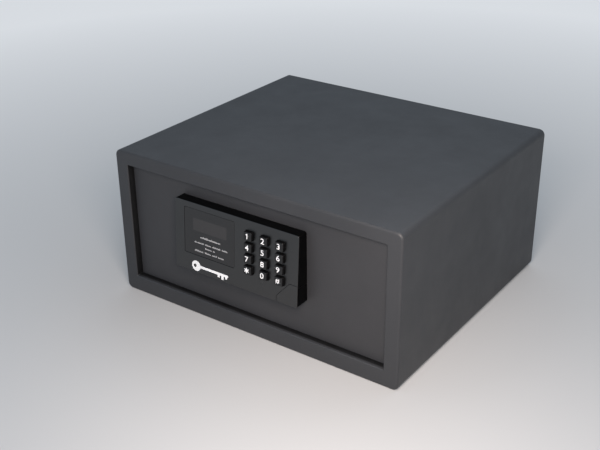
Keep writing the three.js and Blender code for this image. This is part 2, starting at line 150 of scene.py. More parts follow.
def powder_coat(name, dark, light, rough=0.5, grain=0.00022, spec=0.5, top_light=0.0, reveal_shade=False):
    """Fine-textured powder coat: pebbled skin, faint mottling and hazy patches where hands and cloths have been;
    the top-light share lightens the faces that look up with painted light, and the reveal-shade switch paints shade
    into the recessed band the door shuts into."""
    m, nt, b = new_material(name)
    v = coords(nt)
    mottle = noise(nt, v, 9, 4, 0.6)
    fleck = noise(nt, v, 1400, 2, 0.5)
    base = ramp(nt, mottle, [(0.25, dark), (0.75, light)])
    flecked = mix(nt, remap(nt, fleck, 0.0, 0.22, 0.52, 0.72), base, tuple(min(1, c * 2.2) for c in light))
    # painted light: faces that look up are lightened towards a pale blue-grey, in blotchy noise patches
    if top_light:
        tc = nt.nodes.new("ShaderNodeTexCoord")
        xyz = nt.nodes.new("ShaderNodeSeparateXYZ")
        nt.links.new(tc.outputs["Normal"], xyz.inputs[0])
        up = remap(nt, xyz.outputs["Z"], 0.0, 1.0, 0.35, 1.0)
        film = remap(nt, noise(nt, v, 13, 5, 0.6), top_light * 0.8, top_light * 1.2, 0.3, 0.7)
        flecked = mix(nt, math_node(nt, "MULTIPLY", up, film), flecked, (0.170, 0.186, 0.214))
    # painted shade: the recessed band of the opening, where the door shuts, is darkened almost to black
    if reveal_shade:
        tc2 = nt.nodes.new("ShaderNodeTexCoord")
        pos = nt.nodes.new("ShaderNodeSeparateXYZ")
        nt.links.new(tc2.outputs["Object"], pos.inputs[0])
        X, Y, Z = (pos.outputs[a] for a in "XYZ")
        k = remap(nt, math_node(nt, "ABSOLUTE", X, 0.0), 1.0, 0.0, 0.1908, 0.1913)
        for sock, lo, hi, a0, a1 in ((Z, 0.0, 1.0, 0.0223, 0.0228), (Z, 1.0, 0.0, 0.1822, 0.1827), (Y, 0.0, 1.0, -0.1813, -0.1798), (Y, 1.0, 0.0, -0.1680, -0.1655)):
            k = math_node(nt, "MULTIPLY", k, remap(nt, sock, lo, hi, a0, a1))
        # on the sill the outer lip is left out of the painted shade
        sill = math_node(nt, "MAXIMUM", remap(nt, Z, 0.0, 1.0, 0.0233, 0.0243), remap(nt, Y, 0.0, 1.0, -0.1788, -0.1768))
        k = math_node(nt, "MULTIPLY", k, sill)
        # noise that breaks up the painted shade unevenly
        shade_breakup = remap(nt, noise(nt, v, 60, 4, 0.6), 0.80, 0.94, 0.3, 0.7)
        flecked = mix(nt, math_node(nt, "MULTIPLY", k, shade_breakup), flecked, (0.0016, 0.0017, 0.0021))
    nt.links.new(flecked, b.inputs["Base Color"])
    haze = noise(nt, v, 22, 5, 0.62)
    nt.links.new(remap(nt, haze, rough - 0.045, rough + 0.06, 0.3, 0.7), b.inputs["Roughness"])
    b.inputs["Specular IOR Level"].default_value = spec
    vor = nt.nodes.new("ShaderNodeTexVoronoi")
    vor.feature = "SMOOTH_F1"
    vor.inputs["Scale"].default_value = 1150
    vor.inputs["Smoothness"].default_value = 0.8
    nt.links.new(v, vor.inputs["Vector"])
    pebble = math_node(nt, "ADD", vor.outputs["Distance"], math_node(nt, "MULTIPLY", noise(nt, v, 620, 3, 0.55), 0.9))
    n1 = bump(nt, pebble, 0.55, grain)
    n2 = bump(nt, noise(nt, v, 55, 2, 0.5), 0.12, 0.0006, n1)
    nt.links.new(n2, b.inputs["Normal"])
    return m


def moulded(name, dark, light, rough=0.4, grain=0.00006, scale=2600, spec=0.5, side_spec=None):
    """Injection-moulded plastic with a fine spark-eroded grain; `side_spec` is the duller reflection of the drawn sides."""
    m, nt, b = new_material(name)
    v = coords(nt)
    base = ramp(nt, noise(nt, v, 30, 4, 0.6), [(0.3, dark), (0.7, light)])
    nt.links.new(base, b.inputs["Base Color"])
    smear = noise(nt, v, 45, 5, 0.65)
    nt.links.new(remap(nt, smear, rough - 0.05, rough + 0.07, 0.3, 0.7), b.inputs["Roughness"])
    b.inputs["Specular IOR Level"].default_value = spec
    if side_spec is not None:
        tc = nt.nodes.new("ShaderNodeTexCoord")
        xyz = nt.nodes.new("ShaderNodeSeparateXYZ")
        nt.links.new(tc.outputs["Normal"], xyz.inputs[0])
        nt.links.new(remap(nt, math_node(nt, "ABSOLUTE", xyz.outputs["Y"], 0.0), side_spec, spec, 0.45, 0.95), b.inputs["Specular IOR Level"])
    g = noise(nt, v, scale, 3, 0.6)
    n1 = bump(nt, g, 0.5, grain)
    nt.links.new(n1, b.inputs["Normal"])
    return m


def metal(name, dark, light, rough=0.3, streak=(1, 1, 1), scale=300, grain=0.00003):
    """Turned or rolled metal with directional marks, faint staining and handling marks."""
    m, nt, b = new_material(name)
    b.inputs["Metallic"].default_value = 1.0
    v = coords(nt, streak)
    v0 = coords(nt)
    lines = noise(nt, v, scale, 6, 0.7)
    stain = noise(nt, v0, 60, 5, 0.65)
    base = mix(nt, remap(nt, stain, 0.0, 0.55, 0.45, 0.75), light, dark)
    base2 = mix(nt, remap(nt, lines, 0.0, 0.35, 0.4, 0.7), base, dark)
    nt.links.new(base2, b.inputs["Base Color"])
    nt.links.new(remap(nt, lines, rough - 0.07, rough + 0.12, 0.3, 0.7), b.inputs["Roughness"])
    nt.links.new(bump(nt, lines, 0.35, grain), b.inputs["Normal"])
    return m


def plain_print(name, col, rough=0.5):
    """Pad-printed ink: slightly uneven cover."""
    m, nt, b = new_material(name)
    v = coords(nt)
    cov = noise(nt, v, 1800, 3, 0.6)
    nt.links.new(mix(nt, remap(nt, cov, 0.0, 0.16, 0.55, 0.8), col, tuple(c * 0.7 for c in col)), b.inputs["Base Color"])
    nt.links.new(remap(nt, cov, rough - 0.08, rough + 0.08), b.inputs["Roughness"])
    nt.links.new(bump(nt, cov, 0.3, 0.00002), b.inputs["Normal"])
    return m


M = {}
# the carcass coat carries painted light on its up-facing faces and painted shade in the door reveal
M["carcass"] = powder_coat("carcass_powder_coat", (0.0225, 0.0240, 0.0275), (0.0300, 0.0315, 0.0355), 0.50, top_light=0.078, reveal_shade=True)
M["door"] = powder_coat("door_powder_coat", (0.0225, 0.0230, 0.0258), (0.0295, 0.0300, 0.0335), 0.50)
M["housing"] = moulded("housing_abs", (0.0004, 0.0004, 0.0005), (0.0009, 0.0009, 0.0010), 0.32, 0.000012, 2400, 0.95, 0.12)
M["key"] = moulded("key_abs", (0.0030, 0.0030, 0.0034), (0.0046, 0.0046, 0.0051), 0.38, 0.00001, 3000, 0.5, 0.15)
M["cover"] = moulded("inner_cover_abs", (0.012, 0.012, 0.0135), (0.017, 0.017, 0.0185), 0.55, 0.00012, 1300)
M["acetal"] = moulded("acetal", (0.60, 0.57, 0.49), (0.68, 0.65, 0.57), 0.42, 0.00002, 900)
M["zinc"] = metal("zinc_plate", (0.42, 0.41, 0.36), (0.62, 0.63, 0.61), 0.34, (1, 1, 1), 260, 0.00003)
M["bright"] = metal("bright_steel", (0.50, 0.50, 0.50), (0.66, 0.67, 0.68), 0.24, (60, 3, 3), 40, 0.00002)
M["brass"] = metal("brass", (0.50, 0.36, 0.15), (0.72, 0.55, 0.27), 0.28, (3, 60, 3), 40, 0.00002)
M["rubber"] = moulded("silicone_rubber", (0.24, 0.24, 0.25), (0.30, 0.30, 0.31), 0.7, 0.00004, 900)
M["plug"] = moulded("plug_plastic", (0.010, 0.010, 0.011), (0.015, 0.015, 0.016), 0.6, 0.00006, 1400)
M["ink"] = plain_print("white_ink", (0.80, 0.81, 0.83))
M["ink_fine"] = plain_print("fine_print_ink", (0.36, 0.36, 0.37))


def make_board():
    m, nt, b = new_material("solder_mask")
    v = coords(nt)
    vor = nt.nodes.new("ShaderNodeTexVoronoi")
    vor.distance = "MANHATTAN"
    vor.inputs["Scale"].default_value = 260
    nt.links.new(v, vor.inputs["Vector"])
    tracks = remap(nt, vor.outputs["Distance"], 0, 1, 0.42, 0.5)
    nt.links.new(mix(nt, tracks, (0.010, 0.085, 0.032), (0.022, 0.15, 0.06)), b.inputs["Base Color"])
    nt.links.new(remap(nt, noise(nt, v, 200), 0.22, 0.36), b.inputs["Roughness"])
    nt.links.new(bump(nt, tracks, 0.4, 0.00004), b.inputs["Normal"])
    return m


def make_cell():
    m, nt, b = new_material("cell_sleeve")
    tc = nt.nodes.new("ShaderNodeTexCoord")
    sep = nt.nodes.new("ShaderNodeSeparateXYZ")
    nt.links.new(tc.outputs["Object"], sep.inputs[0])
    band = remap(nt, sep.outputs["X"], 0, 1, 0.1305, 0.1310)
    v = coords(nt)
    sleeve = mix(nt, band, (0.012, 0.055, 0.16), (0.62, 0.60, 0.55))
    nt.links.new(mix(nt, remap(nt, noise(nt, v, 160, 4), 0, 0.25), sleeve, (0.02, 0.03, 0.05)), b.inputs["Base Color"])
    nt.links.new(remap(nt, noise(nt, v, 90, 4), 0.22, 0.42), b.inputs["Roughness"])
    b.inputs["Metallic"].default_value = 0.35
    nt.links.new(bump(nt, noise(nt, v, 500, 2), 0.2, 0.00003), b.inputs["Normal"])
    return m


def make_lead(name, col):
    m, nt, b = new_material(name)
    v = coords(nt)
    n = noise(nt, v, 350, 3)
    nt.links.new(mix(nt, remap(nt, n, 0, 0.5, 0.4, 0.7), col, tuple(c * 0.6 for c in col)), b.inputs["Base Color"])
    nt.links.new(remap(nt, n, 0.36, 0.5), b.inputs["Roughness"])
    nt.links.new(bump(nt, n, 0.25, 0.00004), b.inputs["Normal"])
    return m


def make_felt():
    m, nt, b = new_material("needle_felt")
    v = coords(nt)
    fibre = noise(nt, coords(nt, (1, 4, 1)), 900, 6, 0.75)
    cross = noise(nt, coords(nt, (4, 1, 1)), 760, 6, 0.75)
    f = math_node(nt, "MAXIMUM", fibre, cross)
    nt.links.new(ramp(nt, f, [(0.42, (0.009, 0.0095, 0.011)), (0.60, (0.028, 0.029, 0.033)), (0.78, (0.075, 0.077, 0.084))]), b.inputs["Base Color"])
    b.inputs["Roughness"].default_value = 0.95
    b.inputs["Sheen Weight"].default_value = 0.25
    b.inputs["Sheen Roughness"].default_value = 0.6
    b.inputs["Specular IOR Level"].default_value = 0.2
    lump = noise(nt, v, 60, 3)
    nt.links.new(bump(nt, f, 0.9, 0.0006, bump(nt, lump, 0.4, 0.001)), b.inputs["Normal"])
    return m


M["board"] = make_board()
M["cell"] = make_cell()
M["lead_red"] = make_lead("lead_red", (0.28, 0.018, 0.014))
M["lead_black"] = make_lead("lead_black", (0.016, 0.016, 0.017))
M["felt"] = make_felt()


def make_lens():
    """Smoked window: a dark satin film over the display, a little lighter where the display glass shows through."""
    m, nt, b = new_material("smoked_lens")
    tc = nt.nodes.new("ShaderNodeTexCoord")
    sep = nt.nodes.new("ShaderNodeSeparateXYZ")
    nt.links.new(tc.outputs["Object"], sep.inputs[0])

    def inside(sock, lo, hi, soft):
        a = remap(nt, sock, 0, 1, lo - soft, lo + soft)
        c = remap(nt, sock, 1, 0, hi - soft, hi + soft)
        return math_node(nt, "MULTIPLY", a, c)

    v0 = coords(nt)
    # the display window seen through the film: x -78..-26 mm, 56..72 mm up the face
    zlo, zhi = (H_Z0 + 56.0 * math.cos(TILT)) * MM, (H_Z0 + 72.2 * math.cos(TILT)) * MM
    win = math_node(nt, "MULTIPLY", inside(sep.outputs["X"], -0.0780, -0.0257, 0.0004), inside(sep.outputs["Z"], zlo, zhi, 0.0004))
    film = ramp(nt, noise(nt, v0, 40, 4), [(0.3, (0.0046, 0.0043, 0.0046)), (0.7, (0.0066, 0.0062, 0.0064))])
    nt.links.new(mix(nt, win, film, (0.0175, 0.0160, 0.0165)), b.inputs["Base Color"])
    nt.links.new(remap(nt, noise(nt, v0, 55, 5), 0.30, 0.42, 0.3, 0.7), b.inputs["Roughness"])
    b.inputs["Specular IOR Level"].default_value = 0.72
    nt.links.new(bump(nt, noise(nt, v0, 2600, 2), 0.3, 0.00003), b.inputs["Normal"])
    return m


def make_lcd():
    m, nt, b = new_material("lcd_glass")
    v = coords(nt)
    nt.links.new(ramp(nt, noise(nt, v, 25, 3), [(0.3, (0.035, 0.040, 0.034)), (0.7, (0.05, 0.056, 0.048))]), b.inputs["Base Color"])
    nt.links.new(remap(nt, noise(nt, v, 80, 3), 0.12, 0.22), b.inputs["Roughness"])
    nt.links.new(bump(nt, noise(nt, v, 300, 2), 0.1, 0.00002), b.inputs["Normal"])
    return m


M["lens"] = make_lens()
M["lcd"] = make_lcd()


# ---------------------------------------------------------------------------
# mesh helpers: everything is built in mm and scaled on the way in
def to_object(name, bm, material, matrix=None, smooth=True, angle=32):
    bmesh.ops.recalc_face_normals(bm, faces=bm.faces)
    me = bpy.data.meshes.new(name)
    bm.to_mesh(me)
    bm.free()
    me.transform(Matrix.Scale(MM, 4))
    if matrix is not None:
        me.transform(matrix)
    ob = bpy.data.objects.new(name, me)
    bpy.context.scene.collection.objects.link(ob)
    me.materials.append(material)
    if smooth:
        for p in me.polygons:
            p.use_smooth = True
        me.set_sharp_from_angle(angle=math.radians(angle))
    return ob


def bake_modifiers(ob):
    """Replaces the object's mesh with the result of its modifiers."""
    bpy.context.view_layer.update()
    dg = bpy.context.evaluated_depsgraph_get()
    me = bpy.data.meshes.new_from_object(ob.evaluated_get(dg))
    old = ob.data
    ob.modifiers.clear()
    ob.data = me
    bpy.data.meshes.remove(old)
    return ob


def rrect(x0, x1, z0, z1, r, n=6):
    pts = []
    for cx, cz, a0 in ((x1 - r, z0 + r, -90), (x1 - r, z1 - r, 0), (x0 + r, z1 - r, 90), (x0 + r, z0 + r, 180)):
        for i in range(n + 1):
            a = math.radians(a0 + 90 * i / n)
            pts.append((cx + r * math.cos(a), cz + r * math.sin(a)))
    return pts


def loft(bm, rings, cyclic=False, cap_start=False, cap_end=False):
    """rings: lists of 3D points with equal counts, joined by quads."""
    vs = [[bm.verts.new(p) for p in ring] for ring in rings]
    pairs = list(zip(vs, vs[1:])) + ([(vs[-1], vs[0])] if cyclic else [])
    n = len(vs[0])
    for a, b in pairs:
        for i in range(n):
            j = (i + 1) % n
            bm.faces.new((a[i], a[j], b[j], b[i]))
    if cap_start:
        bm.faces.new(list(reversed(vs[0])))
    if cap_end:
        bm.faces.new(vs[-1])
    return vs


def cutter(name, bm):
    bmesh.ops.recalc_face_normals(bm, faces=bm.faces)
    me = bpy.data.meshes.new(name)
    bm.to_mesh(me)
    bm.free()
    me.transform(Matrix.Scale(MM, 4))
    ob = bpy.data.objects.new(name, me)
    bpy.context.scene.collection.objects.link(ob)
    return ob


def cyl_bm(bm, r, p0, p1, n=40):
    p0, p1 = Vector(p0), Vector(p1)
    d = (p1 - p0)
    q = d.to_track_quat("Z", "Y")
    rings = []
    for p in (p0, p1):
        rings.append([p + q @ Vector((r * math.cos(2 * math.pi * i / n), r * math.sin(2 * math.pi * i / n), 0)) for i in range(n)])
    loft(bm, rings, cap_start=True, cap_end=True)


def box_bm(bm, x0, x1, y0, y1, z0, z1):
    vs = [bm.verts.new(p) for p in ((x0, y0, z0), (x1, y0, z0), (x1, y1, z0), (x0, y1, z0), (x0, y0, z1), (x1, y0, z1), (x1, y1, z1), (x0, y1, z1))]
    for f in ((0, 3, 2, 1), (4, 5, 6, 7), (0, 1, 5, 4), (1, 2, 6, 5), (2, 3, 7, 6), (3, 0, 4, 7)):
        bm.faces.new([vs[i] for i in f])


def subtract(ob, *cutters):
    for c in cutters:
        md = ob.modifiers.new("cut", "BOOLEAN")
        md.operation = "DIFFERENCE"
        md.solver = "EXACT"
        md.object = c
    bake_modifiers(ob)
    for c in cutters:
        me = c.data
        bpy.data.objects.remove(c)
        bpy.data.meshes.remove(me)
    return ob


def soften(ob, width, segments=3, angle=30):
    """Rounds the sharp edges with a bevel and keeps the flats flat."""
    b = ob.modifiers.new("bevel", "BEVEL")
    b.width = width * MM
    b.segments = segments
    b.limit_method = "ANGLE"
    b.angle_limit = math.radians(angle)
    b.harden_normals = False
    b.use_clamp_overlap = True
    w = ob.modifiers.new("normals", "WEIGHTED_NORMAL")
    w.keep_sharp = True
    w.weight = 80
    return ob


def polish(node, material, width=0.3, segments=2, angle=30, smooth=True):
    """Carries a CAD node over: welds its facets, merges flat ones, rounds its edges and gives it its material."""
    ob = NODES[node]
    wd = ob.modifiers.new("weld", "WELD")
    wd.merge_threshold = 2e-6
    dc = ob.modifiers.new("flats", "DECIMATE")
    dc.decimate_type = "DISSOLVE"
    dc.angle_limit = math.radians(0.4)
    if width:
        soften(ob, width, segments, angle)
    sm = None
    ob.data.materials.clear()
    ob.data.materials.append(material)
    for p in ob.data.polygons:
        p.use_smooth = True
        p.material_index = 0
    return ob


# ---------------------------------------------------------------------------
# carcass: one folded and welded shell with softened front edges and an opening turned back into jambs
def carcass_shell():
    N = 8

    def outer(inset, y):
        return [(x, y, z) for x, z in rrect(-HALF_W + inset, HALF_W - inset, inset, TOP - inset, max(8 - inset, 0.5), N)]

    def opening(outset, y):
        return [(x, y, z) for x, z in rrect(-OPEN_X - outset, OPEN_X + outset, OPEN_LO - outset, OPEN_HI + outset, 0.8 + outset, N)]

    rings = []
    rings.append(outer(0.35, BACK))
    rings.append(outer(0.1, BACK - 0.1))
    rings.append(outer(0.0, BACK - 0.4))
    for i in range(0, 7):
        t = math.radians(90 * i / 6)
        rings.append(outer(3.0 * (1 - math.cos(t)), FRONT + 3.0 - 3.0 * math.sin(t)))
    R = 1.6
    for i in range(0, 6):
        t = math.radians(90 * i / 5)
        rings.append(opening(R * (1 - math.sin(t)), FRONT + R * (1 - math.cos(t))))
    rings.append(opening(0.0, -132.4))
    rings.append(opening(0.4, -132.0))
    rings.append(opening(1.7, -132.0))
    rings.append(opening(2.0, -132.4))
    rings.append(opening(2.0, FRONT + 4.0))
    rings.append(outer(2.0, FRONT + 4.0))
    rings.append(outer(2.0, BACK - 0.4))
    rings.append(outer(1.9, BACK - 0.1))
    rings.append(outer(1.65, BACK))
    bm = bmesh.new()
    loft(bm, rings, cyclic=True)
    ob = to_object("carcass_shell", bm, M["carcass"], smooth=False)
    bm = bmesh.new()
    cyl_bm(bm, 2.8, (169, -166, OPEN_HI - 3), (169, -166, OPEN_HI + 6), 32)
    cyl_bm(bm, 2.8, (169, -166, OPEN_LO - 6), (169, -166, OPEN_LO + 3), 32)
    for x in (-140, 140):
        for y in (-90, 110):
            cyl_bm(bm, 5, (x, y, -3), (x, y, 5), 40)
    # the left jamb stops behind the door: the strike plate carries on from there
    box_bm(bm, -200, -189, -169.5, -120, OPEN_LO + 0.01, OPEN_HI - 0.01)
    subtract(ob, cutter("c", bm))
    for p in ob.data.polygons:
        p.use_smooth = True
    ob.data.set_sharp_from_angle(angle=math.radians(38))
    w = ob.modifiers.new("normals", "WEIGHTED_NORMAL")
    w.keep_sharp = True
    w.weight = 90
    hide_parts("body_wrap", "front_frame")
    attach(ob, "carcass")
    return ob


def strike_plate():
    bm = bmesh.new()
    box_bm(bm, -193.3, -190.8, -169.2, -132.0, OPEN_LO - 1.6, OPEN_HI + 1.6)
    ob = to_object("strike_plate_formed", bm, M["carcass"], smooth=False)
    bm = bmesh.new()
    for z in (72.0, 128.0):
        loft(bm, [[(x, y, zz) for y, zz in rrect(-160.5, -139.5, z - 10.5, z + 10.5, 2.2, 5)] for x in (-200, -180)], cap_start=True, cap_end=True)
    subtract(ob, cutter("c", bm))
    for p in ob.data.polygons:
        p.use_smooth = True
    soften(ob, 0.4, 2, 50)
    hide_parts("strike_plate")
    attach(ob, "carcass")


carcass_shell()
strike_plate()
polish("back_panel", M["carcass"], 0.4, 2, 50)
for n in ("hole_plug_left", "hole_plug_right"):
    polish(n, M["plug"], 0.25, 2, 40)
for n in ("hinge_pin_top", "hinge_pin_bottom"):
    polish(n, M["bright"], 0)


def floor_mat():
    """Needle-felt mat, cut a little soft at the edges and lying slightly uneven."""
    lo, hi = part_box("floor_mat")
    x0, x1, y0, y1, z0, z1 = (v / MM for v in (lo.x, hi.x, lo.y, hi.y, lo.z, hi.z))
    bm = bmesh.new()
    nx, ny = 82, 62
    rnd = random.Random(3)
    ph = [(rnd.uniform(0, 6.28), rnd.uniform(0.012, 0.03), rnd.uniform(0, 6.28)) for _ in range(5)]

    def h(x, y):
        return sum(math.sin(x * k * math.cos(a) + y * k * math.sin(a) + p) for p, k, a in ph) * 0.09

    top = [[None] * (ny + 1) for _ in range(nx + 1)]
    bot = [[None] * (ny + 1) for _ in range(nx + 1)]
    for i in range(nx + 1):
        for j in range(ny + 1):
            x = x0 + (x1 - x0) * i / nx
            y = y0 + (y1 - y0) * j / ny
            e = min(i, nx - i, j, ny - j)
            edge = 0.8 if e == 0 else 0.0
            jx = (rnd.uniform(-0.35, 0.35) if e == 0 else 0)
            jy = (rnd.uniform(-0.35, 0.35) if e == 0 else 0)
            cx = min(max(x + jx, x0), x1)
            cy = min(max(y + jy, y0), y1)
            top[i][j] = bm.verts.new((cx, cy, min(z1 - edge + h(x, y) - 0.25, z1)))
            bot[i][j] = bm.verts.new((cx, cy, z0)) if e == 0 or True else None
    for i in range(nx):
        for j in range(ny):
            bm.faces.new((top[i][j], top[i + 1][j], top[i + 1][j + 1], top[i][j + 1]))
            bm.faces.new((bot[i][j], bot[i][j + 1], bot[i + 1][j + 1], bot[i + 1][j]))
    for i in range(nx):
        bm.faces.new((top[i][0], bot[i][0], bot[i + 1][0], top[i + 1][0]))
        bm.faces.new((top[i][ny], top[i + 1][ny], bot[i + 1][ny], bot[i][ny]))
    for j in range(ny):
        bm.faces.new((top[0][j], top[0][j + 1], bot[0][j + 1], bot[0][j]))
        bm.faces.new((top[nx][j], bot[nx][j], bot[nx][j + 1], top[nx][j + 1]))
    ob = to_object("felt_mat", bm, M["felt"])
    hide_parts("floor_mat")
    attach(ob, "carcass")


floor_mat()

# ---------------------------------------------------------------------------
# door and lock work: CAD nodes carried over with rounded edges
polish("door_plate", M["door"], 0.7, 3, 40)
for n in ("hinge_block_top", "hinge_block_bottom"):
    polish(n, M["door"], 0.4, 2, 40)
for n, w in (("lock_chassis", 0.25), ("bolt_carriage", 0.15), ("guide_stud_left", 0), ("guide_stud_right", 0), ("cylinder_nut", 0.3), ("lock_cam", 0.25)):
    polish(n, M["zinc"], w, 2, 40)
for i in range(1, 7):
    polish(f"cover_screw_{i}", M["zinc"], 0)
for n in ("bolt_upper", "bolt_lower", "motor", "lock_cylinder"):
    polish(n, M["bright"], 0.2, 2, 40)
polish("drive_pinion", M["brass"], 0.08, 1, 40)
polish("key_plug", M["brass"], 0.12, 2, 40)
polish("gearbox", M["acetal"], 0.5, 2, 40)
polish("inner_cover", M["cover"], 0.6, 3, 40)
polish("battery_tray", M["cover"], 0.3, 2, 40)
polish("battery_door", M["cover"], 0.35, 2, 40)
polish("circuit_board", M["board"], 0.1, 1, 40)
polish("key_mat", M["rubber"], 0.4, 2, 40)
polish("lcd_module", M["lcd"], 0.3, 2, 40)
polish("display_lens", M["lens"], 0.25, 2, 40)


def housing_skin(node, body, material, width=0.85):
    """The moulding's own copy: its front rim is rolled over, and every parting edge on it is eased a little."""
    inv = PANEL.inverted()
    me = NODES[node].data.copy()
    me.name = node + "_moulded"
    bm = bmesh.new()
    bm.from_mesh(me)
    bmesh.ops.remove_doubles(bm, verts=bm.verts, dist=2e-6)
    bmesh.ops.dissolve_limit(bm, angle_limit=math.radians(0.4), verts=bm.verts, edges=bm.edges, delimit=set())
    bmesh.ops.remove_doubles(bm, verts=bm.verts, dist=0.00015)
    layer = bm.edges.layers.float.get("bevel_weight_edge") or bm.edges.layers.float.new("bevel_weight_edge")
    cx, cz = (H_X0 + H_X1) / 2, (H_Z0 + H_Z1) / 2
    hx, hz, r = (H_X1 - H_X0) / 2, (H_Z1 - H_Z0) / 2, 2.5

    def state(v):
        x, z = v.co.x / MM, v.co.z / MM
        qx, qz = abs(x - cx) - (hx - r), abs(z - cz) - (hz - r)
        d = math.hypot(max(qx, 0), max(qz, 0)) + min(max(qx, qz), 0) - r
        n = (inv @ v.co).z / MM
        return abs(n) < 0.06, abs(d) < 0.08, v.co.y / MM < DOOR_Y - 1.5

    st = {v: state(v) for v in bm.verts}
    for e in bm.edges:
        if len(e.link_faces) != 2 or e.calc_face_angle(0) < math.radians(38):
            continue
        (fa, oa, ca), (fb, ob_, cb) = (st[v] for v in e.verts)
        if fa and fb:
            e[layer] = 1.0 if (oa and ob_) else 0.36
        elif oa and ob_ and (ca or cb):
            e[layer] = 0.3
    bm.to_mesh(me)
    bm.free()
    ob = bpy.data.objects.new(node + "_moulded", me)
    bpy.context.scene.collection.objects.link(ob)
    me.materials.clear()
    me.materials.append(material)
    for p in me.polygons:
        p.use_smooth = True
        p.material_index = 0
    b = ob.modifiers.new("rim", "BEVEL")
    b.width = width * MM
    b.segments = 4
    b.limit_method = "WEIGHT"
    b.use_clamp_overlap = False
    b.miter_outer = "MITER_ARC"
    bake_modifiers(ob)
    for p in ob.data.polygons:
        p.use_smooth = True
    ob.data.set_sharp_from_angle(angle=math.radians(40))
    w = ob.modifiers.new("normals", "WEIGHTED_NORMAL")
    w.keep_sharp = True
    w.weight = 90
    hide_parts(node)
    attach(ob, body)
    return ob


housing_skin("lock_housing", "door", M["housing"])
housing_skin("key_cover", "corner_cover", M["housing"])
for i in range(1, 5):
    polish(f"cell_{i}", M["cell"], 0.3, 2, 40)
polish("motor_lead", M["lead_red"], 0)
polish("battery_lead", M["lead_black"], 0)


# ---------------------------------------------------------------------------
# keys: drafted caps with a rolled rim and a shallow dish, and a printed character
DISH = 0.22


def dish(x, v):
    r = (x / 6.0) ** 2 + (v / 5.7) ** 2
    return DISH * min(1.0, r)


def key_cap(label, cx, cv):
    node = "key_" + label
    body = "cap_" + label
    W, H, proud = 6.0, 5.7, KEY_PROUD
    n = 6
    rings = []

    def ring(ix, h, r):
        return [(x, v, h) for x, v in rrect(-W + ix, W - ix, -H + ix, H - ix, r, n)]

    rings.append([(x, v, -4.6) for x, v in rrect(-6.8, 6.8, -6.4, 6.4, 0.8, n)])
    rings.append([(x, v, -3.1) for x, v in rrect(-6.8, 6.8, -6.4, 6.4, 0.8, n)])
    rings.append([(x, v, -3.0) for x, v in rrect(-6.7, 6.7, -6.3, 6.3, 0.8, n)])
    rings.append(ring(0.0, -3.0, 1.3))
    rings.append(ring(0.0, 0.0, 1.3))
    rings.append(ring(0.16, proud - 1.0, 1.3))
    for i in range(1, 6):
        t = math.radians(90 * i / 5)
        rings.append(ring(0.16 + 0.9 * (1 - math.cos(t)), proud - 1.0 + (1.0 - 0.02) * math.sin(t), 1.25))
    # crown: concentric rings that sink into the dish
    for s in (0.8, 0.6, 0.4, 0.2):
        hx, hv = (W - 1.06) * s, (H - 1.06) * s
        pts = rrect(-hx, hx, -hv, hv, max(1.25 * s, 0.15), n)
        rings.append([(x, v, proud - 0.02 - (DISH - dish(x, v)) * 1.0) for x, v in pts])
    bm = bmesh.new()
    vs = loft(bm, rings, cap_start=True)
    c = bm.verts.new((0, 0, proud - 0.02 - DISH))
    last = vs[-1]
    for i in range(len(last)):
        bm.faces.new((last[i], last[(i + 1) % len(last)], c))
    mat = PANEL @ Matrix.Translation((cx * MM, cv * MM, 0))
    ob = to_object("cap_" + label + "_moulded", bm, M["key"], mat, angle=50)
    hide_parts(node)
    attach(ob, body)
    return mat


def printed(name, text, height, mat, body, bold=0.15, lift=0.0, depth=0.05, follow=None, centre=(0, 0), wide=1.0, turn=False):
    """A character from the built-in face, sized by its height, as a thin layer of ink."""
    cu = bpy.data.curves.new(name, "FONT")
    cu.body = text
    cu.size = 10.0
    cu.offset = bold
    cu.resolution_u = 6
    cu.extrude = depth
    tmp = bpy.data.objects.new(name + "_t", cu)
    bpy.context.scene.collection.objects.link(tmp)
    bpy.context.view_layer.update()
    dg = bpy.context.evaluated_depsgraph_get()
    me = bpy.data.meshes.new_from_object(tmp.evaluated_get(dg))
    bpy.data.objects.remove(tmp)
    bpy.data.curves.remove(cu)
    xs = [v.co.x for v in me.vertices]
    ys = [v.co.y for v in me.vertices]
    ox, oy = (min(xs) + max(xs)) / 2, (min(ys) + max(ys)) / 2
    k = height / (max(ys) - min(ys))
    for v in me.vertices:
        x, y = (v.co.x - ox) * k * wide, (v.co.y - oy) * k
        if turn:
            x, y = -x, -y
        v.co.x, v.co.y = x + centre[0], y + centre[1]
        v.co.z += lift + (follow(v.co.x, v.co.y) if follow else 0)
    return ink_object(name, me, mat, body)


def ink_object(name, me, mat, body, ink="ink"):
    me.transform(Matrix.Scale(MM, 4))
    me.transform(mat)
    me.name = name
    me.materials.clear()
    me.materials.append(M[ink])
    ob = bpy.data.objects.new(name, me)
    bpy.context.scene.collection.objects.link(ob)
    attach(ob, body)
    return ob


def prism(bm, pts, a, b):
    lo = [bm.verts.new((x, v, a if not callable(a) else a(x, v))) for x, v in pts]
    hi = [bm.verts.new((x, v, b if not callable(b) else b(x, v))) for x, v in pts]
    k = len(pts)
    for i in range(k):
        j = (i + 1) % k
        bm.faces.new((lo[i], lo[j], hi[j], hi[i]))
    bm.faces.new(hi)
    bm.faces.new(list(reversed(lo)))


def star_outline(cx, cy, R, w):
    """Six-armed asterisk as one outline, arms of half width w."""
    pts = []
    for k in range(6):
        a = math.radians(90 + 60 * k)
        c, s = math.cos(a), math.sin(a)
        for u, t in ((R - 0.25, -w), (R, -w * 0.55), (R, w * 0.55), (R - 0.25, w)):
            pts.append((cx + u * c - t * s, cy + u * s + t * c))
        a2 = a + math.radians(30)
        pts.append((cx + 2 * w * math.cos(a2), cy + 2 * w * math.sin(a2)))
    return pts


